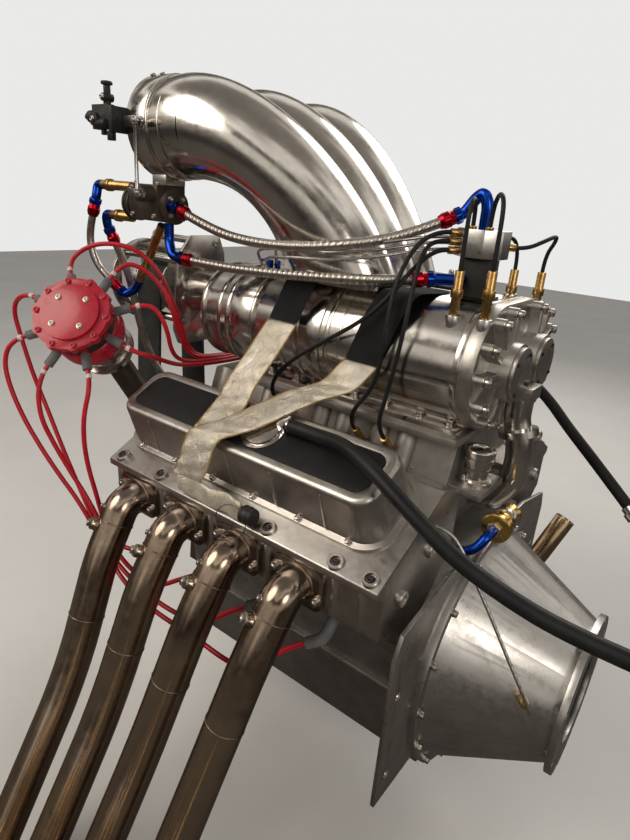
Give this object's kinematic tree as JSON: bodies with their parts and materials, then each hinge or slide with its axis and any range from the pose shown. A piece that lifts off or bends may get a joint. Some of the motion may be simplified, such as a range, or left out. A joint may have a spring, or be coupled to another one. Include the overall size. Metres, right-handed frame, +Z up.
{
  "type": "supercharged drag racing V8 engine",
  "caption": "Dressed V8 racing engine with a belt-driven blower under a polished intake elbow, throttle linkage, plumbing, restraint straps, upswept headers, a distributor and a motor plate.",
  "frame": {"origin": "on the crank axis, in the rear face of the motor plate, at the centre of its chassis bolts", "axes": "+X to the rear of the car along the crank axis, +Y to the engine's right bank, +Z up"},
  "size_m": [1.2023, 1.7456, 1.2699],
  "materials": {
    "belt_rubber": "matt toothed belt",
    "black_magnesium": "satin, rough cast under dark paint",
    "blue_anodised": "blue anodised aluminium",
    "boot_rubber": "moulded grey boot",
    "brackets_black": "satin black",
    "brass": "turned",
    "cap_plastic": "moulded, bright red",
    "cast_aluminium": "rough cast",
    "gold_anodised": "gold anodised aluminium",
    "header_steel": "bare steel, tinted bronze and brown by heat",
    "heat_sleeve": "aluminised glass cloth, creased",
    "hose_braid": "braided stainless steel cover",
    "hose_rubber": "smooth black hose",
    "lead_silicone": "red silicone ignition lead",
    "machined_aluminium": "satin, machined",
    "polished_aluminium": "polished",
    "red_anodised": "red anodised aluminium",
    "steel": "ground",
    "strap_webbing": "woven restraint webbing"
  },
  "bodies": {
    "engine": {"barrel_valve": "black_magnesium", "bearing_caps": "polished_aluminium", "bellhousing": "machined_aluminium", "block": "cast_aluminium", "block_bracket": "brackets_black", "blower_case": "machined_aluminium", "blower_gear_case": "polished_aluminium", "blower_rear_cover": "machined_aluminium", "brass_fittings": "brass", "breather_hose_left": "hose_rubber", "breather_hose_right": "hose_rubber", "breather_left": "polished_aluminium", "breather_right": "polished_aluminium", "cable_bracket": "brackets_black", "distribution_block": "machined_aluminium", "distributor_body": "polished_aluminium", "distributor_cap": "cap_plastic", "distributor_drive": "black_magnesium", "drive_belt": "belt_rubber", "drive_plate": "polished_aluminium", "drive_posts": "polished_aluminium", "feed_hose": "hose_braid", "front_cover": "black_magnesium", "fuel_filter": "gold_anodised", "fuel_hose_lower": "hose_braid", "fuel_hose_upper": "hose_braid", "fuel_pump": "machined_aluminium", "head_left": "machined_aluminium", "head_right": "machined_aluminium", "headers_left": "header_steel", "headers_right": "header_steel", "hose_collars": "red_anodised", "hose_ends": "polished_aluminium", "hose_fittings": "blue_anodised", "intake_elbow": "polished_aluminium", "intake_manifold": "cast_aluminium", "lead_boots": "boot_rubber", "motor_plate": "machined_aluminium", "nozzle_hoses": "hose_rubber", "oil_pan": "machined_aluminium", "outboard_plate": "polished_aluminium", "port_hoses": "hose_rubber", "pressure_line": "steel", "relief_cap": "polished_aluminium", "restraint_straps": "strap_webbing", "return_hose": "hose_braid", "spark_leads_left": "lead_silicone", "spark_leads_right": "lead_silicone", "strap_sleeves": "heat_sleeve", "throttle_body": "polished_aluminium", "valve_bracket": "machined_aluminium", "valve_cover_left": "machined_aluminium", "valve_cover_right": "machined_aluminium", "vent_tube": "polished_aluminium"},
    "crank": {"crank_pulley": "machined_aluminium", "clutch": "steel"},
    "blower_drive": {"blower_pulley": "machined_aluminium"},
    "throttle": {"throttle_shaft": "steel"},
    "link": {"link_rod": "steel"},
    "metering_lever": {"barrel_lever": "steel"}
  },
  "joints": [
    {"name": "crank_spin", "type": "hinge", "parent": "engine", "child": "crank", "pos_m": [-0.7, 0, 0], "axis": [1, 0, 0], "continuous": true},
    {"name": "blower_spin", "type": "hinge", "parent": "engine", "child": "blower_drive", "pos_m": [-0.8, 0, 0.51], "axis": [1, 0, 0], "continuous": true},
    {"name": "throttle_hinge", "type": "hinge", "parent": "engine", "child": "throttle", "pos_m": [-0.616, 0, 0.805], "axis": [0, 1, 0], "range_deg": [0, 80], "stiffness_Nm_per_rad": 0.5, "springref_deg": -20.05},
    {"name": "link_hinge", "type": "hinge", "parent": "throttle", "child": "link", "pos_m": [-0.59, -0.246, 0.805], "axis": [0, 1, 0], "range_deg": [-80, 0]},
    {"name": "metering_hinge", "type": "hinge", "parent": "engine", "child": "metering_lever", "pos_m": [-0.616, -0.238, 0.7], "axis": [0, 1, 0], "range_deg": [0, 80]}
  ],
  "couplings": [
    {"joint": "blower_spin", "follows": "crank_spin", "ratio": 1.3333},
    {"joint": "link_hinge", "follows": "throttle_hinge", "ratio": -1},
    {"joint": "metering_hinge", "follows": "throttle_hinge", "ratio": 1}
  ]
}
